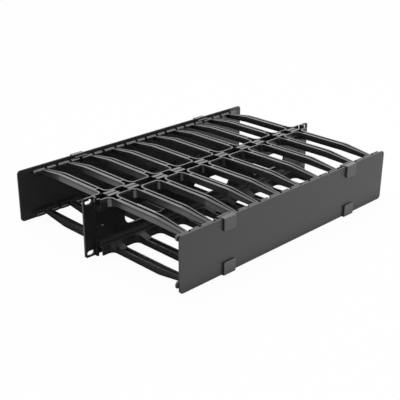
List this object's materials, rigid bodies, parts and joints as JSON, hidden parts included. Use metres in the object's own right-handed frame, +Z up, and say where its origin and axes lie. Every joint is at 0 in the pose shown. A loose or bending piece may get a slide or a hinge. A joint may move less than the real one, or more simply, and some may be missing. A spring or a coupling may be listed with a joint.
{
  "type": "horizontal cable manager",
  "caption": "Two-unit rack cable manager with rows of cable fingers on both sides of a slotted panel and a clip-on hinged cover over each side.",
  "frame": {"origin": "centre of the rack hole pattern on the rear face of the panel's ears", "axes": "+X to the right along the panel, +Y to the rear through the rack, +Z up; the front is at -Y"},
  "size_m": [0.4826, 0.3324, 0.0882],
  "materials": {
    "panel": "semi-gloss black moulded plastic",
    "finger": "satin black moulded plastic",
    "cover": "dark grey, fine matt texture",
    "clip": "dark grey, smooth satin"
  },
  "bodies": {
    "frame": {"rack_panel": "panel", "front_top_finger_01": "finger", "front_top_finger_02": "finger", "front_top_finger_03": "finger", "front_top_finger_04": "finger", "front_top_finger_05": "finger", "front_top_finger_06": "finger", "front_top_finger_07": "finger", "front_top_finger_08": "finger", "front_top_finger_09": "finger", "front_top_finger_10": "finger", "front_bottom_finger_01": "finger", "front_bottom_finger_02": "finger", "front_bottom_finger_03": "finger", "front_bottom_finger_04": "finger", "front_bottom_finger_05": "finger", "front_bottom_finger_06": "finger", "front_bottom_finger_07": "finger", "front_bottom_finger_08": "finger", "front_bottom_finger_09": "finger", "front_bottom_finger_10": "finger", "rear_top_finger_01": "finger", "rear_top_finger_02": "finger", "rear_top_finger_03": "finger", "rear_top_finger_04": "finger", "rear_top_finger_05": "finger", "rear_top_finger_06": "finger", "rear_top_finger_07": "finger", "rear_top_finger_08": "finger", "rear_top_finger_09": "finger", "rear_top_finger_10": "finger", "rear_bottom_finger_01": "finger", "rear_bottom_finger_02": "finger", "rear_bottom_finger_03": "finger", "rear_bottom_finger_04": "finger", "rear_bottom_finger_05": "finger", "rear_bottom_finger_06": "finger", "rear_bottom_finger_07": "finger", "rear_bottom_finger_08": "finger", "rear_bottom_finger_09": "finger", "rear_bottom_finger_10": "finger"},
    "front_cover": {"front_cover": "cover", "front_top_left_clip": "clip", "front_top_right_clip": "clip", "front_bottom_left_clip": "clip", "front_bottom_right_clip": "clip"},
    "rear_cover": {"rear_cover": "cover", "rear_top_left_clip": "clip", "rear_top_right_clip": "clip", "rear_bottom_left_clip": "clip", "rear_bottom_right_clip": "clip"}
  },
  "joints": [
    {"name": "front_cover_hinge", "type": "hinge", "parent": "frame", "child": "front_cover", "pos_m": [0, -0.1595, 0.0353], "axis": [-1, 0, 0], "range_deg": [0, 100]},
    {"name": "rear_cover_hinge", "type": "hinge", "parent": "frame", "child": "rear_cover", "pos_m": [0, 0.1455, 0.0353], "axis": [1, 0, 0], "range_deg": [0, 100]}
  ]
}
